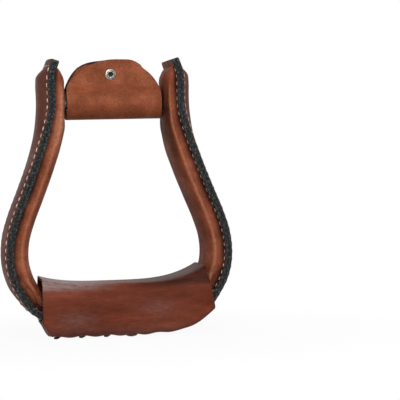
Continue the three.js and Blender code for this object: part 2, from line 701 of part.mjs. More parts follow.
const sleeveEnd = (side) => foldRing.map((p) => new THREE.Vector3(side * halfSleeve, p.x, p.y));
const foldBlank = skin(mirrored.map(sleeveEnd));
// What is left of the strip: straight sides, and a half-round top.
const flapShoulder = flapTop - flapRound;
const foldFloor = -foldRadius - overrun;
const flapShape = new THREE.Shape([
  new THREE.Vector2(-halfSleeve - seat, foldFloor),
  new THREE.Vector2(halfSleeve + seat, foldFloor),
  ...arc(0, 0, 1, 0, 0.5, 20).map((p) => new THREE.Vector2(p.x * halfSleeve, flapShoulder + p.y * flapRound)),
]);
const keepDepth = foldRadius + overrun;
const flapKeep = new THREE.ExtrudeGeometry(flapShape, { depth: 2 * keepDepth, bevelEnabled: false });
flapKeep.rotateX(Math.PI / 2).translate(0, keepDepth, 0);
const rivetHole = rod(rivetShank + 2 * seat, "y", [-keepDepth, keepDepth], smallSides);
rivetHole.translate(rivetAcross, 0, rivetUp);
const sleeve = toSolid(foldBlank).intersect(toSolid(flapKeep)).subtract(toSolid(rivetHole));
addPiece("bar_sleeve", fromSolid(sleeve), sleeveBrown, 0.6, 0, bar);

const flapFace = seat / 2 + sleeveThickness; // the flaps' outer faces, from the middle
const washerFace = -flapFace - seat - rivetWasherThickness;
const ringSeat = washerFace - seat;
const ringFace = ringSeat - rivetRingThickness;
const headBase = flapFace + seat;
const shankR = rivetShank / 2;
const domeProfile = arc(0, 0, 1, 0, 0.25, 3).map((unit) => [
  (rivetHeadDiameter / 2) * unit.x,
  headBase + rivetHeadHeight * unit.y,
]);
const rivetProfile = [
  [0, -flapFace], [rivetBore / 2, -flapFace], [rivetBore / 2, ringFace], [rivetRingDiameter / 2, ringFace],
  [rivetRingDiameter / 2, ringSeat], [shankR, ringSeat], [shankR, headBase], ...domeProfile,
];
const rivet = turned(rivetProfile, "y", smallSides).translate(rivetAcross, 0, rivetUp);
addPiece("sleeve_rivet", rivet, rivetNickel, 0.3, 1, bar);
const rivetWasherEnds = [washerFace, washerFace + rivetWasherThickness];
const rivetWasher = ringBar(rivetWasherDiameter, rivetShank + 2 * seat, "y", rivetWasherEnds, smallSides);
rivetWasher.translate(rivetAcross, 0, rivetUp);
addPiece("rivet_washer", rivetWasher, rivetNickel, 0.3, 1, bar);

export default stirrup;
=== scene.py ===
import math
from bisect import bisect

import bmesh
import bpy
from mathutils import Matrix, Vector
from mathutils.geometry import interpolate_bezier


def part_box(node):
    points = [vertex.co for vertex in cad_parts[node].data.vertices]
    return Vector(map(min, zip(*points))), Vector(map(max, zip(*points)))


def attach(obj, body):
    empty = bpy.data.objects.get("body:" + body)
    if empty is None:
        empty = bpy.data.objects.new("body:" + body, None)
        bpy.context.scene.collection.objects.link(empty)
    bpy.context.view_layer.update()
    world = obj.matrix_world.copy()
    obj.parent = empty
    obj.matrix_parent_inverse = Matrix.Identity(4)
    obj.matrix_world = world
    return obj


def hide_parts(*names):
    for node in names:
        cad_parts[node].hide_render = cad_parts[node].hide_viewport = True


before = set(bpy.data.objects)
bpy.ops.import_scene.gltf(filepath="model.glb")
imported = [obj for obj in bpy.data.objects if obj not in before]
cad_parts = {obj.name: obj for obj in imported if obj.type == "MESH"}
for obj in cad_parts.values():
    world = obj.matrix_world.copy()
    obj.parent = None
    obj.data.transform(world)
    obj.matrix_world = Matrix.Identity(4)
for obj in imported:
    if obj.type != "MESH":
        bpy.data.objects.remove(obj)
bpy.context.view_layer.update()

# Camera: a long lens from the photograph's place, a little to the left of the stirrup and just above the
# middle of its height. All lengths in this file are in metres.
view_target = Vector((0.0677, 0, 0.1033))
view_azimuth = math.radians(-11.08)
view_elevation = math.radians(1.28)
view_roll = math.radians(-1.33)
view_distance = 1.435
back = Vector((
    math.sin(view_azimuth) * math.cos(view_elevation),
    -math.cos(view_azimuth) * math.cos(view_elevation),
    math.sin(view_elevation),
))
camera_data = bpy.data.cameras.new("camera")
camera_data.sensor_width = 36
camera_data.lens = 163.9
camera_data.clip_start = 0.05
camera_data.clip_end = 60
camera = bpy.data.objects.new("camera", camera_data)
bpy.context.collection.objects.link(camera)
turn = back.to_track_quat("Z", "Y").to_matrix() @ Matrix.Rotation(view_roll, 3, "Z")
camera.matrix_world = Matrix.Translation(view_target + view_distance * back) @ turn.to_4x4()
bpy.context.scene.camera = camera

# Floor and studio: a pale floor that reads as white to the camera but keeps a soft shadow, a white surround,
# and three large soft lights, the strongest one high in front.
floor_radius = 6
floor_drop = 0.0002
floor_grey = 0.6
shadow_reach, shadow_fade = 0.08, 0.30
shadow_white = 0.94
surround_strength = 0.32
light_target = Vector((0, 0, 0.11))


def fill(socket, value):
    """Gives a socket a constant, or links it to another node's output."""
    if isinstance(value, bpy.types.NodeSocket):
        socket.id_data.links.new(value, socket)
    else:
        socket.default_value = value


def node_maker(tree):
    """A function that adds nodes to the tree. Plain values fill a node's sockets in order. A named one fills
    the socket of that name, with _ for a space, or sets an option of the node."""
    def node(kind, *values, **settings):
        made = tree.nodes.new("ShaderNode" + kind)
        for name, value in settings.items():
            socket_name = name.replace("_", " ")
            if socket_name in made.inputs:
                fill(made.inputs[socket_name], value)
            else:
                setattr(made, name, value)
        for socket, value in zip(made.inputs, values):
            fill(socket, value)
        return made

    return node


def calc(node, operation, *values, **settings):
    return node("Math", *values, operation=operation, **settings).outputs[0]


def remap(node, value, low, high, to_low, to_high, way="LINEAR"):
    """Takes a value between low and high to the same place between two others."""
    return node(
        "MapRange", interpolation_type=way,
        Value=value, From_Min=low, From_Max=high, To_Min=to_low, To_Max=to_high,
    ).outputs["Result"]


def seen_share(node):
    """1 where the camera sees the surface, also by way of gloss or glass, and 0 for all other light."""
    rays = node("LightPath").outputs
    seen = calc(node, "MAXIMUM", rays["Is Camera Ray"], rays["Is Glossy Ray"])
    return calc(node, "MAXIMUM", seen, rays["Is Transmission Ray"])


floor_mesh = bmesh.new()
bmesh.ops.create_circle(floor_mesh, cap_ends=True, segments=96, radius=floor_radius)
bmesh.ops.translate(floor_mesh, verts=floor_mesh.verts, vec=(0, 0, -floor_drop))
floor_data = bpy.data.meshes.new("studio_floor")
floor_mesh.to_mesh(floor_data)
floor_mesh.free()
floor = bpy.data.objects.new("studio_floor", floor_data)
bpy.context.collection.objects.link(floor)

floor_paint = bpy.data.materials.new("floor_paint")
floor_paint.use_nodes = True
floor_paint.node_tree.nodes.clear()
node = node_maker(floor_paint.node_tree)
paint = node("BsdfDiffuse", Color=(floor_grey, floor_grey, floor_grey, 1))
lit = node("Emission", Color=(1, 1, 1, 1), Strength=1)
from_middle = node("VectorMath", node("TexCoord").outputs["Object"], operation="LENGTH").outputs["Value"]
fading = remap(node, from_middle, shadow_reach, shadow_fade, shadow_white, 1, "SMOOTHSTEP")
white_share = calc(node, "MULTIPLY", seen_share(node), fading)
blend = node("MixShader", white_share, paint.outputs["BSDF"], lit.outputs["Emission"])
node("OutputMaterial", Surface=blend.outputs["Shader"])
floor_data.materials.append(floor_paint)

studio = bpy.data.worlds.new("studio")
bpy.context.scene.world = studio
studio.use_nodes = True
studio.node_tree.nodes.clear()
node = node_maker(studio.node_tree)
surround = node("Background", Color=(1, 1, 1, 1), Strength=surround_strength)
white = node("Background", Color=(1, 1, 1, 1), Strength=1)
blend = node("MixShader", seen_share(node), surround.outputs["Background"], white.outputs["Background"])
node("OutputWorld", Surface=blend.outputs["Shader"])

for light_name, place, size, power in (
    ("front_light", Vector((-0.15, -1.7, 1.1)), 1.2, 36),
    ("side_light", Vector((1.7, -1.0, 0.9)), 1.2, 6),
    ("back_light", Vector((0.4, 1.7, 1.3)), 1.4, 7),
):
    lamp = bpy.data.lights.new(light_name, "AREA")
    lamp.shape = "DISK"
    lamp.size = size
    lamp.energy = power
    light = bpy.data.objects.new(light_name, lamp)
    light.location = place
    light.rotation_euler = (place - light_target).to_track_quat("Z", "Y").to_euler()
    bpy.context.collection.objects.link(light)

# Outer strap: one long strip of oiled harness leather round the whole outside, its edges dyed black and
# burnished. It swells over the bolt's two ends, and is sewn to the linings in a shallow groove.
seat = 0.0003
strap_width = 0.050
strap_thickness = 0.0027
strap_corner = 0.004
strap_top = 0.215
strap_outside = seat / 2 + strap_thickness
edge_rounding = 0.0004
margin_width = 0.0036
margin_drop = 0.0004
strap_crown = 0.0020
crown_run = 0.020
left_reach = 0.060
right_reach = 0.072
bell_width = 0.1694
seam_bottom = 0.00995
outline_shares = [
    (0, 0), (0.16, 0), (0.3, 0.0002), (0.41, 0.0016), (0.51, 0.0061), (0.6, 0.0154), (0.68, 0.0298),
    (0.75, 0.0471), (0.81, 0.0664), (0.863, 0.0959), (0.908, 0.1268), (0.95, 0.1595), (0.988, 0.2113),
    (1, 0.2669), (0.983, 0.3351), (0.928, 0.4106), (0.849, 0.4924), (0.772, 0.5731), (0.708, 0.6466),
    (0.653, 0.7126), (0.614, 0.7693), (0.592, 0.8175), (0.59, 0.8658), (0.592, 0.9035), (0.5825, 0.9455),
    (0.5423, 0.9942),
]
seam_steps = 30
bolt_height = 0.1805
swell_height = 0.0045
swell_below = 0.076
swell_above = 0.0275
swell_fall = 0.0085
swell_half_width = 0.0205
swell_flat_share = 0.4
seam_inset = 0.0037
end_seam_inset = 0.0058
stitch_pitch = 0.0057
groove_width = 0.0010
groove_depth = 0.00025
hole_depth = 0.0005
hole_radius = 0.0007
row_step = stitch_pitch / 5
end_stitches = 7
pressed = 0.00004  # half of what is left between strap and flange, which the thread draws together
dark_end, dark_end_fade = 0.009, 0.016
dark_rim, dark_rim_fade = 0.0008, 0.0030


def centripetal_curve(points, steps):
    """A smooth line through the points, as a row of many more points."""
    ends = [2 * points[0] - points[1], *points, 2 * points[-1] - points[-2]]
    line = [points[0]]
    for before, start, end, after in zip(ends, ends[1:], ends[2:], ends[3:]):
        pairs = ((before, start), (start, end), (end, after))
        lead, gap, trail = [math.sqrt((there - here).length) for here, there in pairs]
        leave = ((start - before) / lead - (end - before) / (lead + gap) + (end - start) / gap) * gap
        arrive = ((end - start) / gap - (after - start) / (gap + trail) + (after - end) / trail) * gap
        line += interpolate_bezier(start, start + leave / 3, end - arrive / 3, end, steps)[1:]
    return line


def lengths_along(line):
    """How far along the line each of its points lies."""
    lengths = [0]
    for here, there in zip(line, line[1:]):
        lengths.append(lengths[-1] + (there - here).length)
    return lengths


def stretch_at(lengths, reach):
    """Which stretch of a line a length along it falls in, and how far through that stretch."""
    i = min(max(bisect(lengths, reach), 1), len(lengths) - 1)
    return i, (reach - lengths[i - 1]) / (lengths[i] - lengths[i - 1])


def ways_along(line):
    """Which way the line runs at each of its points."""
    ends = [line[0], *line, line[-1]]
    return [(after - before).normalized() for before, after in zip(ends, ends[2:])]


right_side = [
    Vector((across * bell_width / 2, 0, seam_bottom + up * (strap_top - seam_bottom)))
    for across, up in outline_shares
]
left_side = [Vector((-point.x, 0, point.z)) for point in reversed(right_side[1:])]
seam_line = centripetal_curve(left_side + right_side, seam_steps)
seam_lengths = lengths_along(seam_line)
half_seam = seam_lengths[-1] / 2
seam_ways = ways_along(seam_line)


def off_seam(along, outwards, across):
    """The point so far along the seam line from mid tread, outwards of it, and across the strap."""
    reach = min(max(along + half_seam, 0), 2 * half_seam)
    i, share = stretch_at(seam_lengths, reach)
    point = seam_line[i - 1].lerp(seam_line[i], share)
    way = seam_ways[i - 1].lerp(seam_ways[i], share).normalized()
    return Vector((point.x + way.z * outwards, across, point.z - way.x * outwards))


def smoothstep(value, low, high):
    share = min(max((value - low) / (high - low), 0), 1)
    return share * share * (3 - 2 * share)


def lerp(start, end, share):
    return start + (end - start) * share


def evenly(start, end, steps):
    return [lerp(start, end, i / steps) for i in range(steps + 1)]


def along_at(height):
    """How far along the seam line, from mid tread, the right arm first passes a height."""
    return next(
        length for point, length in zip(seam_line, seam_lengths) if point.x > 0 and point.z > height
    ) - half_seam


bolt_along = along_at(bolt_height)


def swell(along, across):
    """How far the strap stands out: its crown over the frame, and more over the upper arms and the bolt."""
    from_bolt = abs(along) - bolt_along
    up = min(max((from_bolt + swell_below) / swell_below, 0), 1) ** 2
    down = smoothstep(from_bolt, swell_above - swell_fall, swell_above)
    sideways = smoothstep(abs(across) / swell_half_width, swell_flat_share, 1)
    over_bolt = swell_height * smoothstep(up, 0, 1) * (1 - sideways)
    free = smoothstep(abs(along), right_reach, right_reach + crown_run)
    return over_bolt * (1 - down) + strap_crown * free * (1 - (2 * across / strap_width) ** 2)


def half_width(along):
    """Half the strap's width, less near its rounded ends."""
    into_corner = max(0, strap_corner - (half_seam - abs(along)))
    return strap_width / 2 - strap_corner + math.sqrt(max(0, strap_corner ** 2 - into_corner ** 2))


def burnish(edge):
    """How far a face drops towards a rounded edge."""
    into = max(0, edge_rounding - edge)
    return edge_rounding - math.sqrt(edge_rounding ** 2 - into ** 2)


def margin(edge):
    """How far the strap's outer face falls towards its cut edge, beyond the stitches."""
    into = max(0, 1 - edge / margin_width)
    return margin_drop * (1 - math.sqrt(1 - into ** 2))


thread_across = strap_width / 2 - seam_inset
thread_top = half_seam - end_seam_inset
end_pitch = 2 * thread_across / end_stitches


def stitch_dip(along, across):
    """The sewn groove and the holes that the thread is drawn into."""
    rows = []
    if abs(along) < thread_top + hole_radius:
        phase = (thread_top - abs(along) + stitch_pitch / 2) % stitch_pitch - stitch_pitch / 2
        rows.append((abs(across) - thread_across, phase))
    if abs(across) < thread_across + hole_radius:
        phase = (across + thread_across + end_pitch / 2) % end_pitch - end_pitch / 2
        rows.append((abs(along) - thread_top, phase))
    dip = 0
    for off_row, phase in rows:
        groove = groove_depth * math.exp(-(off_row / groove_width) ** 2)
        hole = hole_depth * math.exp(-((off_row / hole_radius) ** 2 + (phase / hole_radius) ** 2))
        dip = max(dip, groove + hole)
    return dip


def new_piece(name, mesh, material, body, slot, *nodes):
    """Makes an object of a finished mesh, with its material and its place in the frame."""
    bmesh.ops.remove_doubles(mesh, verts=mesh.verts, dist=1e-7)
    bmesh.ops.recalc_face_normals(mesh, faces=mesh.faces)
    for face in mesh.faces:
        face.smooth = True
    data = bpy.data.meshes.new(name)
    mesh.to_mesh(data)
    mesh.free()
    data.materials.append(material)
    piece = bpy.data.objects.new(name, data)
    bpy.context.collection.objects.link(piece)
    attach(piece, body)
    if nodes:
        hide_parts(*nodes)


def grid_verts(mesh, columns, rows):
    """Adds a grid to the mesh, and gives its vertices one by one with their column and row."""
    made = bmesh.ops.create_grid(mesh, x_segments=columns - 1, y_segments=rows - 1, size=1)
    for vert in made["verts"]:
        yield vert, round((vert.co.x + 1) / 2 * (columns - 1)), round((vert.co.y + 1) / 2 * (rows - 1))


def leather_mesh(columns, rows, outside, inside, edge_distance, wear_and_light_at):
    """A cut piece of leather: two grids for its faces, joined by its edge. Each vertex keeps how far it lies
    from the cut edge and how much lighter or darker it is, from rubbing and dirt and from painted highlight
    and shade, and each corner keeps its place across and along the piece. Only the outside gets lighter,
    while darkening reaches both faces."""
    mesh = bmesh.new()
    edges = mesh.verts.layers.float.new("edge")
    wear_and_light = mesh.verts.layers.float.new("wear_and_light")
    places = {}
    for face_point in (outside, inside):
        for vert, i, j in grid_verts(mesh, len(columns), len(rows)):
            column, row = columns[i], rows[j]
            places[vert] = (column, row)
            vert[edges] = edge_distance(column, row)
            worn = wear_and_light_at(column, row)
            vert[wear_and_light] = worn if face_point is outside else min(worn, 0)
            vert.co = face_point(column, row)
    bmesh.ops.bridge_loops(mesh, edges=[edge for edge in mesh.edges if edge.is_boundary])
    layer = mesh.loops.layers.uv.new("leather")
    for face in mesh.faces:
        for loop in face.loops:
            loop[layer].uv = places[loop.vert]
    return mesh


def new_material(name):
    """A new material, a function that fills its shader's named sockets, and one that adds nodes to it."""
    material = bpy.data.materials.new(name)
    material.use_nodes = True
    shader = material.node_tree.nodes["Principled BSDF"]

    def shade(**settings):
        for socket_name, value in settings.items():
            fill(shader.inputs[socket_name.replace("_", " ")], value)

    return material, shade, node_maker(material.node_tree)


def noise(node, place, scale, detail=3, roughness=0.5, distortion=0):
    return node(
        "TexNoise", Vector=place, Scale=scale, Detail=detail, Roughness=roughness, Distortion=distortion,
    ).outputs["Fac"]


def ramp(node, share, *stops):
    """Colours over a share from 0 to 1, through stops of a place and a colour."""
    made = node("ValToRGB", Fac=share)
    elements = made.color_ramp.elements
    for element, (position, colour) in zip(elements, (stops[0], stops[-1])):
        element.position = position
        element.color = (*colour, 1)
    for position, colour in stops[1:-1]:
        elements.new(position).color = (*colour, 1)
    return made.outputs["Color"]


def mix(node, share, first, second):
    return node("Mix", data_type="RGBA", Factor=share, A=first, B=second).outputs["Result"]


def bump(node, height, strength, distance, **settings):
    return node("Bump", Height=height, Strength=strength, Distance=distance, **settings).outputs["Normal"]


def leather(
    name, dark, middle, light, dye, mottle, speckle=0.34, grain=1, roughness=0.6, streak=(1, 1, 1),
    dye_reach=0.0006, specular=0.1, worn=(0.3, 0.15, 0.1), creased=None,
):
    """Dyed and oiled leather: cloudy colour, fine grain and pores, places lightened by rubbing and painted
    highlight and places darkened by dirt and painted shade, black dye along the cut edges, and creases, with
    painted shade in them, below a place along the seam where it was moulded hardest."""
    material, shade, node = new_material(name)
    place = node("TexCoord").outputs["Object"]
    stretched = node("Mapping", Vector=place, Scale=streak).outputs["Vector"]
    clouds = noise(node, stretched, mottle, 5, 0.62)
    specks = noise(node, stretched, mottle * 14, 4, 0.7)
    evened = calc(node, "MULTIPLY_ADD", clouds, 0.9, 0.05 - speckle / 2)
    cloudy = calc(node, "MULTIPLY_ADD", specks, speckle, evened)
    colours = ramp(node, cloudy, (0.3, dark), (0.53, middle), (0.78, light))

    # The wear_and_light attribute runs from -1, dark with dirt and painted shade, to 1, where the grain is
    # lighter in flecks from rubbing and painted highlight.
    wear_and_light = node("Attribute", attribute_name="wear_and_light").outputs["Fac"]
    flecks = remap(node, noise(node, stretched, 480, 5, 0.7), 0.2, 0.66, 0, 1)
    rub_and_highlight_share = calc(node, "MULTIPLY", wear_and_light, flecks, use_clamp=True)
    lightened = mix(node, rub_and_highlight_share, colours, (*worn, 1))
    patches = remap(node, clouds, 0.3, 0.7, -1.3, -0.6)
    soil_and_shade_share = calc(node, "MULTIPLY", wear_and_light, patches, use_clamp=True)

    # Creases run across the piece's length, darkened with painted shade. Its map has the length along the
    # seam as Y.
    if creased:
        cut = node("UVMap", uv_map="leather").outputs["UV"]
        drawn = node("Mapping", Vector=cut, Scale=(1, 9, 1), Rotation=(0, 0, 0.012)).outputs["Vector"]
        folds = remap(node, noise(node, drawn, 11, 3, 0.5, 0.8), 0.36, 0.50, 0.6, 0, "SMOOTHSTEP")
        low = remap(node, node("SeparateXYZ", cut).outputs["Y"], *creased, 1, 0, "SMOOTHSTEP")
        creases = calc(node, "MULTIPLY", folds, low)
        soil_and_shade_share = calc(node, "ADD", soil_and_shade_share, creases, use_clamp=True)
    soiled_and_shaded = mix(node, soil_and_shade_share, lightened, (*[channel * 0.22 for channel in dark], 1))

    # The dye soaks in unevenly from the cut edge, and the raw fibres under it catch some light.
    edge = node("Attribute", attribute_name="edge").outputs["Fac"]
    soak = calc(node, "MULTIPLY_ADD", noise(node, place, 420), dye_reach, -dye_reach / 2)
    dyed = remap(node, calc(node, "ADD", edge, soak), dye_reach * 0.35, dye_reach, 1, 0, "SMOOTHSTEP")
    fibres = noise(node, place, 520, 5, 0.8)
    sunk_dye = [channel * 0.3 for channel in dye]
    fibre_tips = [channel * 2 + 0.09 for channel in dye]
    edge_colours = ramp(node, fibres, (0.43, sunk_dye), (0.54, dye), (0.66, fibre_tips))
    colour = mix(node, dyed, soiled_and_shaded, edge_colours)

    pores = node("TexVoronoi", Vector=place, Scale=1100, feature="SMOOTH_F1").outputs["Distance"]
    relief = calc(node, "MULTIPLY_ADD", pores, 0.5, noise(node, place, 330, 6, 0.65))
    rough_edge = calc(node, "MULTIPLY", fibres, dyed)
    surface = calc(node, "MULTIPLY_ADD", rough_edge, 2.5, relief)
    normal = bump(node, surface, 0.35 * grain, 0.0006)
    if creased:
        normal = bump(node, creases, 0.8, 0.0012, invert=True, Normal=normal)
    rough = remap(node, cloudy, 0.3, 0.7, roughness + 0.08, roughness - 0.08)
    shade(Base_Color=colour, Roughness=rough, Normal=normal, Specular_IOR_Level=specular)
    return material


edge_black = (0.024, 0.026, 0.025)
edge_brown = (0.075, 0.020, 0.011)
strap_leather = leather(
    "strap_leather", (0.072, 0.022, 0.013), (0.110, 0.033, 0.019), (0.155, 0.050, 0.032), edge_black,
    mottle=45,
)
seam_columns = [thread_across + off_row * hole_radius for off_row in (-1.6, -0.7, 0, 0.7, 1.6)]
side_columns = [
    0.0045, 0.0085, 0.012, 0.015, 0.0175, *seam_columns, 0.0229, 0.0235, 0.024, 0.0244, 0.0247, 0.0249, 0.025]
strap_shares = [across / (strap_width / 2) for across in side_columns]
strap_columns = [-share for share in reversed(strap_shares)] + [0] + strap_shares
end_rows = [half_seam - strap_corner * share for share in (1, 0.72, 0.48, 0.3, 0.16, 0.08, 0.04, 0.015, 0)]
holes_down = math.ceil(thread_top / row_step)
straight_rows = [thread_top - i * row_step for i in range(holes_down)]
half_rows = sorted(
    [row for row in straight_rows if row > row_step]
    + [thread_top + off_row * hole_radius for off_row in (-0.7, 0.7, 1.6)]
    + end_rows
)
strap_rows = [-row for row in reversed(half_rows)] + [0] + half_rows


def strap_edge(share, along):
    return min(half_width(along) * (1 - abs(share)), half_seam - abs(along))


def strap_outer_face(share, along):
    across = share * half_width(along)
    edge = strap_edge(share, along)
    drop = burnish(edge) + margin(edge) + stitch_dip(along, across)
    return off_seam(along, strap_outside + swell(along, across) - drop, across)


def strap_inner_face(share, along):
    across = share * half_width(along)
    return off_seam(along, pressed + swell(along, across), across)


def strap_wear(share, along):
    """The strap's free ends are dark where its edge was dyed and handled."""
    near_end = smoothstep(abs(along), half_seam - dark_end_fade, half_seam - dark_end)
    return -near_end * lerp(1, 0.35, smoothstep(strap_edge(share, along), dark_rim, dark_rim_fade))


strap_mesh = leather_mesh(
    strap_columns, strap_rows, strap_outer_face, strap_inner_face, strap_edge, strap_wear)
new_piece("outer_strap_leather", strap_mesh, strap_leather, "stirrup", "strap_leather", "outer_strap")

# Linings: rough-out leather wet moulded over the frame's rounded inner side, with a flat flange that is sewn
# to the strap. The mould ends in a round shoulder just above the frame, and the flanges run on to the top.
lining_thickness = 0.0025
core_width = 0.034
core_thickness = 0.0116
neck_core_thickness = 0.0087
neck_start, neck_run = bolt_along - 0.018, 0.015
core_edge = 0.0035
core_end_height = 0.197
block_half_length = 0.050
lining_start = block_half_length + core_thickness
core_end = along_at(core_end_height)
shoulder_start = core_end - 0.0015
shoulder_length = 0.0135
shoulder_steps = 16
hidden_half = core_width / 2 + seat
flange_gap = 0.001
flange_start = hidden_half + lining_thickness + flange_gap
flange_dip_share = 0.7
squareness = 3.2
far_from_edge = 0.02
back_flare = 0.003
flare_end = bolt_along - 0.012
flare_rise, flare_fall = 0.028, 0.026
# The painted highlight along the mould's shoulders, and where the marks near its top start and fade out.
ridge_place, ridge_width = 1.12, 0.10
top_rub_and_shade_start, top_rub_and_shade_full = bolt_along - 0.050, bolt_along - 0.015
mould_marks_fade, mould_marks_end = core_end - 0.012, core_end + 0.004
lining_leather = leather(
    "lining_leather", (0.115, 0.028, 0.012), (0.198, 0.051, 0.022), (0.31, 0.092, 0.045), edge_black,
    mottle=60, speckle=0.6, roughness=0.66, grain=1.3, worn=(0.42, 0.165, 0.095), creased=(0.078, 0.112),
)


def core_thickness_at(along):
    thinning = smoothstep(abs(along), neck_start, neck_start + neck_run)
    return lerp(core_thickness, neck_core_thickness, thinning)


def flare_at(along, share):
    """How much thicker the arm is, from nothing at the frame's front edge (-1) to all at its back (1)."""
    above = smoothstep(along, right_reach, right_reach + flare_rise)
    below = 1 - smoothstep(along, flare_end - flare_fall, flare_end)
    return back_flare * above * below * (share + 1) / 2


dome_end, fillet_middle = 1.5, 1.75
half_dome_steps = 13
flange_shares = [0, 0.1, 0.25, 0.45, 0.65, 0.8, 0.88, 0.94, 0.975, 1]
half_columns = evenly(0, dome_end, half_dome_steps)[1:] + [fillet_middle]
half_columns += [2 + share for share in flange_shares]
lining_columns = [-column for column in reversed(half_columns)] + [0] + half_columns


def lining_place(column, along, thickness):
    """How far across and how deep a lining lies, so thick over its hidden face. Columns run from -3 to 3: the
    dome is in the middle, the fillets reach from its ends to 2, and the flange reaches to 3."""
    side = 1 if column > 0 else -1
    reach = abs(column)
    if reach >= 2:
        return side * lerp(flange_start, half_width(along), reach - 2), thickness
    angle = math.pi / 2 * (1 - min(reach / dome_end, 1))
    share = side * max(math.cos(angle), 0) ** (2 / squareness)
    half_across = hidden_half + thickness
    rise = core_thickness_at(along) - core_edge + seat + thickness + flare_at(along, share)
    mould = math.sqrt(1 - min(max((along - shoulder_start) / shoulder_length, 0), 1) ** 2)
    depth = lerp(thickness, core_edge + rise * max(math.sin(angle), 0) ** (2 / squareness), mould)
    if reach <= dome_end:
        return half_across * share, depth
    share = (reach - dome_end) / (2 - dome_end)
    return side * lerp(half_across, flange_start, share ** 2), lerp(thickness, depth, (1 - share) ** 2)


def lining_edge(column, along):
    reach = abs(column)
    to_side = (3 - reach) * (half_width(along) - flange_start) if reach >= 2 else far_from_edge
    return min(to_side, half_seam - along)


def lining_wear_and_shade(column, along, side):
    """The mould's shoulders are lighter, a painted highlight. Near its top the left one has rubbing too,
    while the right one's inner face is darker, painted shade, as is the rest of that face a little. The
    flange and the mould's foot, in the corner between them, are darkened with painted shade."""
    reach = abs(column)
    # A painted highlight along the mould's shoulders.
    ridge_highlight = math.exp(-((reach - ridge_place) / ridge_width) ** 2)
    near_top = smoothstep(along, top_rub_and_shade_start, top_rub_and_shade_full)
    if side < 0:
        mould = 0.75 * ridge_highlight + 0.75 * near_top * smoothstep(reach, 0.5, 0.9)
        foot_start = 1.33
    else:
        # Painted shade on the right arm's inner face, most near its top.
        mould = 0.95 * ridge_highlight - 0.6 * near_top * (reach < 1.05) - 0.12 * (reach < 1)
        foot_start = 1.39
    # Painted shade in the corner at the mould's foot and on the flange.
    foot = smoothstep(reach, foot_start, 1.52) * (1 - 0.35 * smoothstep(reach, 2.4, 3))
    return mould * (1 - smoothstep(along, mould_marks_fade, mould_marks_end)) - foot


shoulder_rows = [
    shoulder_start + shoulder_length * math.sin(math.pi / 2 * turn) for turn in evenly(0, 1, shoulder_steps)]
lining_rows = sorted([row for row in half_rows if row >= lining_start] + shoulder_rows)
for side, side_name in ((-1, "left"), (1, "right")):
    def shown_face(column, along, side=side):
        across, depth = lining_place(column, along, lining_thickness)
        drop = burnish(lining_edge(column, along))
        if abs(column) >= fillet_middle:
            drop += flange_dip_share * stitch_dip(along, across)
        return off_seam(side * along, -seat / 2 - depth + drop, across)

    def hidden_face(column, along, side=side):
        across, depth = lining_place(column, along, 0)
        return off_seam(side * along, (-depth - seat / 2) if depth else -pressed, across)

    lining_mesh = leather_mesh(
        lining_columns, lining_rows, shown_face, hidden_face, lining_edge,
        lambda column, along, side=side: lining_wear_and_shade(column, along, side),
    )
    new_piece(
        f"lining_leather_{side_name}", lining_mesh, lining_leather, "stirrup", "lining_leather",
        f"inner_cover_{side_name}",
    )

# Seam stitching: waxed thread, lock stitched through strap and flange, so each stitch shows on both faces. It
# runs up one edge, across the end and down the other, and each stitch is pulled down into its holes.
thread_diameter = 0.001
stitch_length = 0.0035
flange_stitch_length = 0.0030
flange_stitch_width = 0.0008
stitch_slant = math.radians(7)
stitch_sink, flange_stitch_sink = 0.00012, 0.00015
thread, shade, node = new_material("waxed_thread")
soiling = noise(node, node("TexCoord").outputs["Object"], 260, 4)
creams = ramp(node, soiling, (0.35, (0.36, 0.22, 0.17)), (0.62, (0.72, 0.52, 0.44)))
shade(Base_Color=creams, Roughness=0.7, Normal=bump(node, soiling, 0.4, 0.0003))


def add_stitch(mesh, place_at, along, across, way, length, thickness):
    """One stitch, centred at a place on a face, lying along the strap (way 0) or across it (way 1)."""
    step = stitch_pitch / 4
    ends = [place_at(along + end * step * (1 - way), across + end * step * way) for end in (-1, 1)]
    middle = place_at(along, across)
    line = (ends[1] - ends[0]).normalized()
    sideways = (place_at(along + step * way, across + step * (1 - way)) - middle).normalized()
    up = line.cross(sideways).normalized()
    frame_of_stitch = Matrix((line, up.cross(line), up)).transposed().to_4x4()
    frame_of_stitch.translation = middle
    slant = Matrix.Rotation(stitch_slant, 4, "Z")
    bmesh.ops.create_uvsphere(
        mesh, u_segments=8, v_segments=6, radius=1,
        matrix=frame_of_stitch @ slant @ Matrix.Rotation(math.pi / 2, 4, "Y") @ Matrix.Diagonal((
            thickness / 2, thickness / 2, length / 2, 1)),
    )


for side, side_name, reach in ((-1, "left", left_reach), (1, "right", right_reach)):
    def on_strap(along, across, side=side):
        edge = min(strap_width / 2 - abs(across), half_seam - abs(along))
        outwards = strap_outside + swell(along, across) - margin(edge) - stitch_sink
        return off_seam(side * along, outwards, across)

    def on_flange(along, across, side=side):
        return off_seam(side * along, -seat / 2 - lining_thickness + flange_stitch_sink, across)

    stitches = bmesh.new()
    count = math.floor((thread_top - reach) / stitch_pitch)
    for face, length, thickness in (
        (on_strap, stitch_length, thread_diameter), (on_flange, flange_stitch_length, flange_stitch_width),
    ):
        for i in range(count):
            for edge_side in (-1, 1):
                row_along = thread_top - (i + 0.5) * stitch_pitch
                add_stitch(stitches, face, row_along, edge_side * thread_across, 0, length, thickness)
        for i in range(end_stitches):
            row_across = (i + 0.5) * end_pitch - thread_across
            add_stitch(stitches, face, thread_top, row_across, 1, length, thickness)
    new_piece(
        f"seam_stitches_{side_name}", stitches, thread, "stirrup", "seam_thread", f"seam_thread_{side_name}")

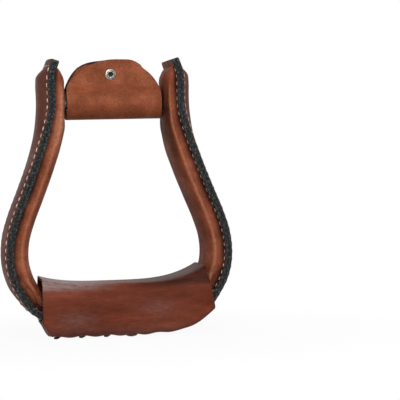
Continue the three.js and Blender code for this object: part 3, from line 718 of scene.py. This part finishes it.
# Tread cover: a wide piece of leather wrapped wet round the tread block and the strap, with its two edges
# laced together underneath. Its left end is cut straight, its right end reaches further up the side.
cover_thickness = 0.0026
tread_ease = 0.0009
half_tread = strap_width / 2 + cover_thickness + tread_ease
tread_height = 0.0415
left_rise, right_rise = 0.0055, 0.012
rise_curve = 3.4
left_tread_top, right_tread_top = 0.0615, 0.0662
left_slack, right_slack = 0.0515, 0.012
top_rounding = 0.009
bottom_rounding = 0.009
end_rounding = 0.0035
tread_crown = 0.0008
back_tuck = 0.0020
lace_slot = 0.003
lace_band = 0.0022
lace_turns = 4
first_lace, last_lace = -0.051, 0.007
lace_pitch = (last_lace - first_lace) / (lace_turns - 1)
lace_slant = lace_pitch * 0.2
lace_reach = 0.0065
first_drawn = first_lace + lace_slant / 2
slot_middle = bottom_rounding + lace_reach - half_tread
puff_share = 0.35
cover_outside = strap_outside + seat + cover_thickness
inner_burnish_share = 0.6
end_steps = [0, 0.00006, 0.0002, 0.0005, 0.001, 0.002]
cover_columns = 130
cover_lengths = 96
# Where the tread top's painted reflection and painted shade lie.
top_sheen_low, top_sheen_high = 0.0352, 0.0420
top_sheen_left, top_sheen_right = -0.050, 0.045
rubbed_patches = ((0.16, 0.028, 0.022, 0.013, 0.006), (0.20, -0.036, 0.015, 0.014, 0.006))
dull_low, dull_high = 0.003, 0.014
tread_leather = leather(
    "tread_leather", (0.066, 0.013, 0.006), (0.122, 0.027, 0.013), (0.200, 0.054, 0.028), edge_brown,
    mottle=34, speckle=0.3, streak=(0.35, 1, 1.6), worn=(0.26, 0.20, 0.19), specular=0.07,
)


def slack_at(along):
    slack, reach = (left_slack, left_reach) if along < 0 else (right_slack, right_reach)
    return 1 - smoothstep(abs(along), slack, reach)


def arc(x, y, radius, from_turn, to_turn, steps=8):
    return [
        Vector((x + radius * math.cos(2 * math.pi * turn), y + radius * math.sin(2 * math.pi * turn)))
        for turn in evenly(from_turn, to_turn, steps)
    ]


def crowned(start, end, crown, steps=12):
    """A row of points from start to end that bows out to the left of its way by the crown."""
    way = end - start
    bow = Vector((-way.y, way.x)).normalized() * crown
    return [start + way * share + bow * (4 * share * (1 - share)) for share in evenly(0, 1, steps)][1:-1]


def cover_row(along, height):
    """The cover's outside in its own slanting plane, from the slot's front edge round to its back edge."""
    slack = slack_at(along)
    drawn = math.cos(math.pi * (along - first_drawn) / lace_pitch) ** 2
    band = lace_band * slack * lerp(puff_share, 1, drawn)
    bottom = lerp(end_rounding, bottom_rounding, slack)
    front_low = arc(bottom - band - half_tread, bottom, bottom - band, 0.75, 0.5)
    front_top = arc(top_rounding - half_tread, height - top_rounding, top_rounding, 0.5, 0.25)
    back_top = arc(half_tread - top_rounding, height - top_rounding, top_rounding, 0.25, 0)
    back_low = arc(half_tread - bottom, bottom, bottom, 0, -0.25)
    return [
        Vector((slot_middle - lace_slot / 2, band)),
        *front_low, *crowned(front_low[-1], front_top[0], tread_crown),
        *front_top, *crowned(front_top[-1], back_top[0], tread_crown / 2),
        *back_top, *crowned(back_top[-1], back_low[0], tread_crown),
        *back_low,
        Vector((lace_slot, 0)),
        Vector((slot_middle + lace_reach + lace_slot, band)),
        Vector((slot_middle + lace_slot / 2, band)),
    ]


def resample(row, count):
    """The row's points moved to equal steps, and the row's whole length."""
    lengths = lengths_along(row)
    points = []
    for reach in evenly(0, lengths[-1], count):
        i, share = stretch_at(lengths, reach)
        points.append(row[i - 1].lerp(row[i], share))
    return points, lengths[-1]


cover_rows = (
    [-left_reach + step for step in end_steps[:-1]]
    + evenly(-left_reach + end_steps[-1], right_reach - end_steps[-1], cover_lengths)
    + [right_reach - step for step in reversed(end_steps[:-1])]
)
cover_skins = {}
for along in cover_rows:
    snug = off_seam(along, cover_outside, 0)
    bottom = snug.lerp(Vector((snug.x, 0, 0)), slack_at(along))
    if along < 0:
        top_share, tread_top, rise = along / left_reach, left_tread_top, left_rise
    else:
        top_share, tread_top, rise = along / right_reach, right_tread_top, right_rise
    top = Vector((top_share * tread_top, 0, tread_height + rise * abs(top_share) ** rise_curve))
    up = top - bottom
    row, girth = resample(cover_row(along, up.length), cover_columns)
    up.normalize()
    from_end = min(along + left_reach, right_reach - along)
    end_tuck = back_tuck * smoothstep(-along, left_slack / 2, left_reach)
    outer, inner = [], []
    for i, (point, way) in enumerate(zip(row, ways_along(row))):
        normal = Vector((-way.y, way.x))
        from_slot = min(i, cover_columns - i) / cover_columns * girth
        edge = min(from_end, from_slot)
        inner_depth = cover_thickness - inner_burnish_share * burnish(edge)
        for skin, depth in ((outer, burnish(edge)), (inner, inner_depth)):
            flat = point - normal * depth
            tuck = end_tuck * smoothstep(flat.x, 0, half_tread)
            skin.append(Vector((bottom.x + up.x * flat.y + tuck, flat.x, bottom.z + up.z * flat.y)))
    cover_skins[along] = (outer, inner, girth)


def cover_point(column, along, skin=0):
    return cover_skins[along][skin][round(column * cover_columns)]


def cover_edge(column, along):
    girth = cover_skins[along][2]
    return min(along + left_reach, right_reach - along, min(column, 1 - column) * girth)


def cover_wear_and_light(column, along):
    """The top has a grey painted reflection on the left and painted shade on the right, and the face has dull
    patches.
    """
    place = cover_point(column, along)
    on_top = smoothstep(place.z, top_sheen_low, top_sheen_high)
    # A grey painted reflection on the top's left, and painted shade on its right.
    top_sheen_and_shade = on_top * lerp(1.05, -0.85, smoothstep(place.x, top_sheen_left, top_sheen_right))
    patches = sum(
        lightened * math.exp(-((place.x - x) / width) ** 2 - ((place.z - z) / height) ** 2)
        for lightened, x, z, width, height in rubbed_patches
    )
    dull = 0.12 * (1 - smoothstep(place.z, dull_low, dull_high))
    return top_sheen_and_shade + patches + dull * (1 - on_top)


cover_mesh = leather_mesh(
    evenly(0, 1, cover_columns), cover_rows, cover_point,
    lambda column, along: cover_point(column, along, 1), cover_edge, cover_wear_and_light,
)
new_piece("tread_cover_leather", cover_mesh, tread_leather, "stirrup", "tread_leather", "tread_cover")

# Sleeve: a strip of leather folded round the roller, with its two half-round flaps riveted together above.
# Its edges are dyed black, and the front flap was trimmed with a small step near its right shoulder.
sleeve_thickness = 0.0026
roller_radius = 0.0095
sleeve_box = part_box("bar_sleeve")
half_sleeve = sleeve_box[1].x
flap_top = sleeve_box[1].z - bolt_height
flap_round = 0.027
flap_shoulder = flap_top - flap_round
fold_radius = roller_radius + seat + sleeve_thickness / 2
flap_middle = (seat + sleeve_thickness) / 2
sleeve_pinch = fold_radius * 1.53
fold_handle = sleeve_pinch * 0.6
fold_steps = 24
flap_steps = 21
sleeve_leather = leather(
    "sleeve_leather", (0.120, 0.030, 0.011), (0.205, 0.054, 0.022), (0.30, 0.092, 0.042), edge_black,
    mottle=60, speckle=0.75, grain=1.2, dye_reach=0.0004,
)
under_bar = arc(0, 0, fold_radius, -0.25, 0, fold_steps)
up_flap = interpolate_bezier(
    Vector((fold_radius, 0, 0)), Vector((fold_radius, fold_handle, 0)),
    Vector((flap_middle, fold_handle, 0)), Vector((flap_middle, sleeve_pinch, 0)), fold_steps,
)
flap_line = under_bar + [Vector((p.x, p.y)) for p in up_flap[1:]]
flap_line += [Vector((flap_middle, y)) for y in evenly(sleeve_pinch, flap_top, flap_steps)[1:]]


def fold_place(height):
    """The middle of one flap's leather at a height above the bar's axis, and the way to its outside."""
    if height >= sleeve_pinch:
        return Vector((flap_middle, height)), Vector((1, 0))
    rising = zip(flap_line[fold_steps:], flap_line[fold_steps + 1:])
    low, high = next(pair for pair in rising if pair[1].y >= height)
    way = (high - low).normalized()
    return low.lerp(high, (height - low.y) / (high.y - low.y)), Vector((way.y, -way.x))


# The strip's columns run from the front flap's top (-1) under the bar (0) to the back flap's top (1). Up to
# 0.3 the leather goes round the bar, up to 0.45 it rises to the flap's shoulder, and the rest is the round.
round_bar, shoulder_at = 0.3, 0.45
sleeve_steps = [0, *evenly(0, round_bar, 14)[1:], *evenly(round_bar, shoulder_at, 6)[1:]]
rim_shares = [0.85, 0.9, 0.94, 0.965, 0.98, 0.99, 0.996, 1]
sleeve_steps += [lerp(shoulder_at, 1, share) for share in evenly(0.08, 0.72, 8) + [0.79] + rim_shares]
sleeve_columns = [-step for step in reversed(sleeve_steps[1:])] + sleeve_steps
side_shares = evenly(0, 0.7, 7) + [0.78] + rim_shares
sleeve_rows = [-share for share in reversed(side_shares[1:])] + side_shares
front_lift, lift_start, lift_full = 0.0007, 0.030, 0.010
front_slant = 0.045
front_fullness, full_place, full_width = 0.0013, 0.0165, 0.0065
notch_place = 0.0222
notch_width = 0.0022
back_lift = 0.0005
back_shoulder, shoulder_start_across, shoulder_full_across = 0.0019, 0.006, 0.024
back_spread = 0.03
dyed_rim, dyed_rim_fade = 0.0018, 0.0030


def sleeve_flat(column, row):
    """Where a place on the strip lies across the stirrup, and how far up its flap."""
    rise = max(0, (abs(column) - shoulder_at) / (1 - shoulder_at))
    across = row * math.sqrt(1 - rise * rise / 2) * half_sleeve
    height = flap_shoulder + rise * math.sqrt(1 - row * row / 2) * flap_round
    if column < 0:
        full = math.exp(-((across - full_place) / full_width) ** 2)
        trim = smoothstep(across, notch_place, notch_place + notch_width)
        stretch = front_lift * smoothstep(-abs(across), -lift_start, -lift_full)
        stretch += (front_fullness * full + front_slant * across) * (1 - trim)
    else:
        shoulder = smoothstep(-across, shoulder_start_across, shoulder_full_across)
        stretch = back_lift + back_shoulder * shoulder
        across *= 1 + back_spread * rise * shoulder
    height += rise ** 2 * stretch
    return across, height


def sleeve_point(column, row, outwards):
    side = 1 if column > 0 else -1
    reach = abs(column)
    across, height = sleeve_flat(column, row)
    if reach <= round_bar:
        turn_to = -math.pi / 2 * (1 - reach / round_bar)
        radius = fold_radius + outwards
        return Vector((across, side * radius * math.cos(turn_to), bolt_height + radius * math.sin(turn_to)))
    if reach < shoulder_at:
        height = flap_shoulder * (reach - round_bar) / (shoulder_at - round_bar)
    middle, out = fold_place(height)
    place = middle + out * outwards
    return Vector((across, side * place.x, bolt_height + place.y))


def sleeve_edge(column, row):
    rise = max(0, (abs(column) - shoulder_at) / (1 - shoulder_at))
    to_side = (1 - abs(row)) * half_sleeve
    return min(to_side, (1 - rise) * flap_round) if rise > 0 else to_side


def sleeve_wear(column, row):
    """The back flap's rim is dark, where the dye ran in from its edge."""
    return -smoothstep(-sleeve_edge(column, row), -dyed_rim_fade, -dyed_rim) if column > shoulder_at else 0


def sleeve_outside(column, row):
    return sleeve_point(column, row, sleeve_thickness / 2 - burnish(sleeve_edge(column, row)))


def sleeve_inside(column, row):
    drop = inner_burnish_share * burnish(sleeve_edge(column, row))
    return sleeve_point(column, row, drop - sleeve_thickness / 2)


sleeve_mesh = leather_mesh(
    sleeve_columns, sleeve_rows, sleeve_outside, sleeve_inside, sleeve_edge, sleeve_wear)
new_piece("bar_sleeve_leather", sleeve_mesh, sleeve_leather, "sleeve", "sleeve_leather", "bar_sleeve")

# Rivet: a nickel plated tubular rivet that holds the two flaps together. Its split end is rolled over a
# washer on the front flap, round a deep star-shaped hollow whose shallow floor is painted black as painted
# shade for the bore, and its plain domed head lies on the back flap.
rivet_across = -0.0015
rivet_low, rivet_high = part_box("sleeve_rivet")
rivet_height = (rivet_low.z + rivet_high.z) / 2
flap_face = seat / 2 + sleeve_thickness
washer_radius = 0.0043
washer_hole = 0.0021
washer_thickness = 0.0007
washer_bevel, washer_rounding = 0.0002, 0.0003
rolled_radius = 0.0032
rolled_height = 0.0010
hollow_radius = 0.0017
hollow_floor = 0.0001
shank_radius = 0.0020
rivet_ease = 0.00005
head_radius, head_rim, head_dome = 0.0044, 0.0002, 0.0013
washer_sides, rivet_sides, head_steps = 48, 72, 8
star_points = 6
star_depth_share = 0.24
star_reach = hollow_radius * 1.3
hollow_shade_radius, hollow_shade_end = 0.0013, 0.0021
rivet_nickel, shade, node = new_material("rivet_nickel")
place = node("TexCoord").outputs["Object"]
tarnish = noise(node, place, 700, 5)
nickels = ramp(node, tarnish, (0.35, (0.13, 0.12, 0.10)), (0.6, (0.42, 0.40, 0.36)))
rivet_axis = (rivet_across, 0, rivet_height)
from_axis = node("VectorMath", place, rivet_axis, operation="SUBTRACT").outputs["Vector"]
flat = node("VectorMath", from_axis, (1, 0, 1), operation="MULTIPLY").outputs["Vector"]
radius = node("VectorMath", flat, operation="LENGTH").outputs["Value"]
# The hollow's floor is painted black near the axis: painted shade for the depth of the bore.
hollow_shade = remap(node, radius, hollow_shade_radius, hollow_shade_end, 0.03, 1)
nickels_with_hollow_shade = mix(node, hollow_shade, (0.012, 0.010, 0.009, 1), nickels)
rough = remap(node, tarnish, 0, 1, 0.42, 0.22)
shade(Base_Color=nickels_with_hollow_shade, Metallic=1, Roughness=rough, Normal=bump(node, tarnish, 0.25, 0.0002))


def spun_mesh(profile, steps, radius_at=lambda radius, angle: radius):
    """A closed profile of radius and depth, spun round the rivet's axis."""
    mesh = bmesh.new()
    for vert, i, j in grid_verts(mesh, steps + 1, len(profile)):
        radius, depth = profile[j]
        angle = 2 * math.pi * i / steps
        out = radius_at(radius, angle)
        vert.co = Vector((rivet_across + out * math.cos(angle), depth, rivet_height + out * math.sin(angle)))
    return mesh


washer_back = -flap_face
washer_front = washer_back - washer_thickness
washer_profile = [
    (washer_hole, washer_back), (washer_radius - washer_bevel, washer_back),
    (washer_radius, washer_back - washer_bevel), (washer_radius, washer_front + washer_rounding),
    (washer_radius - washer_rounding, washer_front), (washer_hole, washer_front), (washer_hole, washer_back),
]
washer_mesh = spun_mesh(washer_profile, washer_sides)
new_piece("rivet_washer_ring", washer_mesh, rivet_nickel, "sleeve", "rivet_nickel", "rivet_washer")


def star(radius, angle):
    """The hollow's wall folds in and out between the splits of the rolled end."""
    if radius > star_reach:
        return radius
    return radius * (1 + star_depth_share * math.cos(angle * star_points))


rolled_front = washer_front - rolled_height
rolled_middle = (hollow_radius + rolled_radius) / 2
head_face = flap_face + head_rim
rivet_profile = [
    (0, washer_back - hollow_floor), (hollow_radius * 0.9, washer_back - hollow_floor),
    (hollow_radius, rolled_front + rolled_height * 0.9),
    (hollow_radius * 1.1, rolled_front + rolled_height * 0.4),
    (rolled_middle - rolled_height * 0.2, rolled_front + rolled_height * 0.1),
    (rolled_middle + rolled_height * 0.1, rolled_front),
    (rolled_radius - rolled_height * 0.3, rolled_front + rolled_height * 0.2),
    (rolled_radius, rolled_front + rolled_height * 0.6),
    (rolled_radius - rolled_height * 0.2, washer_front - rivet_ease),
    (shank_radius, washer_front - rivet_ease), (shank_radius, flap_face),
    (head_radius, flap_face + rivet_ease),
    *[
        (head_radius * math.cos(math.pi / 2 * turn), head_face + head_dome * math.sin(math.pi / 2 * turn))
        for turn in evenly(0, 1, head_steps)
    ][:-1],
    (0, head_face + head_dome),
]
rivet_mesh = spun_mesh(rivet_profile, rivet_sides, star)
new_piece("sleeve_rivet_split", rivet_mesh, rivet_nickel, "sleeve", "rivet_nickel", "sleeve_rivet")

# Lace: one dark latigo thong that draws the cover's two edges together under the tread. It crosses the slot
# outside from each front hole to the back one, returns inside, and ends in a knot at the last front hole.
lace_width = 0.0036
lace_thickness = 0.0017
lace_bend, bend_roundness, bend_steps = 0.0018, 0.6, 7
lace_sides, side_roundness, least_side = 12, 0.6, 0.05
lace_low = lace_thickness / 2
lace_high = lace_band + cover_thickness + seat + lace_thickness / 2
front_holes = slot_middle - lace_reach
back_holes = slot_middle + lace_reach
lace_leather = leather(
    "lace_leather", (0.035, 0.013, 0.009), (0.070, 0.026, 0.017), (0.120, 0.048, 0.032), edge_brown,
    mottle=90, speckle=0.5, specular=0.3,
)
lace_bends = []
for turn_number in range(lace_turns):
    x = first_lace + turn_number * lace_pitch
    bends = [
        Vector((x, front_holes, lace_high)), Vector((x, front_holes, lace_low)),
        Vector((x + lace_slant, back_holes, lace_low)), Vector((x + lace_slant, back_holes, lace_high)),
    ]
    lace_bends += bends if turn_number else bends[1:]
lace_line = [lace_bends[0]]
for before, bend, after in zip(lace_bends, lace_bends[1:], lace_bends[2:]):
    into = bend + (before - bend).normalized() * lace_bend
    out = bend + (after - bend).normalized() * lace_bend
    handles = [end.lerp(bend, bend_roundness) for end in (into, out)]
    lace_line += interpolate_bezier(into, *handles, out, bend_steps)
lace_line.append(lace_bends[-1])
lace_ways = ways_along(lace_line)
lace_mesh = bmesh.new()
lace_edges = lace_mesh.verts.layers.float.new("edge")
for vert, i, j in grid_verts(lace_mesh, lace_sides + 1, len(lace_line)):
    angle = 2 * math.pi * i / lace_sides
    flat_way = (Vector((1, 0, 0)) - lace_ways[j] * lace_ways[j].x).normalized()
    lift = lace_ways[j].cross(flat_way)
    rounded = math.copysign(max(abs(math.cos(angle)), least_side) ** side_roundness, math.cos(angle))
    vert.co = lace_line[j] + flat_way * rounded * lace_width / 2 + lift * math.sin(angle) * lace_thickness / 2
    vert[lace_edges] = far_from_edge
bmesh.ops.remove_doubles(lace_mesh, verts=lace_mesh.verts, dist=1e-7)
bmesh.ops.holes_fill(lace_mesh, edges=[edge for edge in lace_mesh.edges if edge.is_boundary])
knot_place = Vector((last_lace, front_holes, 0))
knot_lumps = (
    (Vector((0.0004, -0.0012, 0.0021)), (0.0049, 0.0030, 0.0021)),
    (Vector((0.0022, -0.0002, 0.0026)), (0.0034, 0.0040, 0.0022)),
)
for lump_place, lump_size in knot_lumps:
    lump = bmesh.ops.create_icosphere(
        lace_mesh, subdivisions=4, radius=1,
        matrix=Matrix.Translation(knot_place + lump_place) @ Matrix.Diagonal((*lump_size, 1)),
    )
    for vert in lump["verts"]:
        vert[lace_edges] = far_from_edge
new_piece("tread_lace_thong", lace_mesh, lace_leather, "stirrup", "lace_leather", "tread_lace")

# Wood and steel inside the leather: a steam-bent frame with its grain along the bend, a sawn tread block, a
# turned roller, and zinc plated bolt, nut, washers and screws. These keep the shapes of the frame's nodes.
def wood(name, dark, light, grain_way, roughness=0.7):
    """Bare hardwood, with bands of colour along its grain."""
    material, shade, node = new_material(name)
    stretched = node("Mapping", Vector=node("TexCoord").outputs["Object"], Scale=grain_way).outputs["Vector"]
    bands = noise(node, stretched, 120, 6, 0.7, 0.4)
    colour = ramp(node, bands, (0.32, dark), (0.68, light))
    shade(Base_Color=colour, Roughness=roughness, Normal=bump(node, bands, 0.3, 0.0003))
    return material


def clothe(material, *node_names):
    """Gives the frame's own nodes a material in place of their plain colour."""
    for node_name in node_names:
        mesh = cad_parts[node_name].data
        mesh.materials.clear()
        mesh.materials.append(material)


clothe(wood("frame_wood", (0.36, 0.19, 0.08), (0.56, 0.34, 0.17), (0.7, 3, 0.7)), "wood_frame")
clothe(wood("block_wood", (0.38, 0.21, 0.09), (0.58, 0.36, 0.19), (0.25, 2.5, 2.5)), "tread_block")
clothe(wood("roller_wood", (0.33, 0.17, 0.07), (0.52, 0.30, 0.14), (0.25, 2.5, 2.5), 0.5), "bar_roller")

zinc_steel, shade, node = new_material("zinc_steel")
bloom = noise(node, node("TexCoord").outputs["Object"], 350, 5)
# The zinc is painted dark, as painted shade for the bolt and washers seen in the gaps beside the sleeve.
shaded_zincs = ramp(node, bloom, (0.35, (0.10, 0.10, 0.105)), (0.65, (0.24, 0.24, 0.245)))
shade(Base_Color=shaded_zincs, Metallic=1, Roughness=remap(node, bloom, 0, 1, 0.65, 0.45))
clothe(zinc_steel, "hanger_bolt", "hanger_nut", "bolt_washer_left", "bolt_washer_right")
clothe(zinc_steel, *[f"tread_screw_{number}" for number in (1, 2, 3, 4)])

bpy.context.scene.view_settings.view_transform = "Standard"
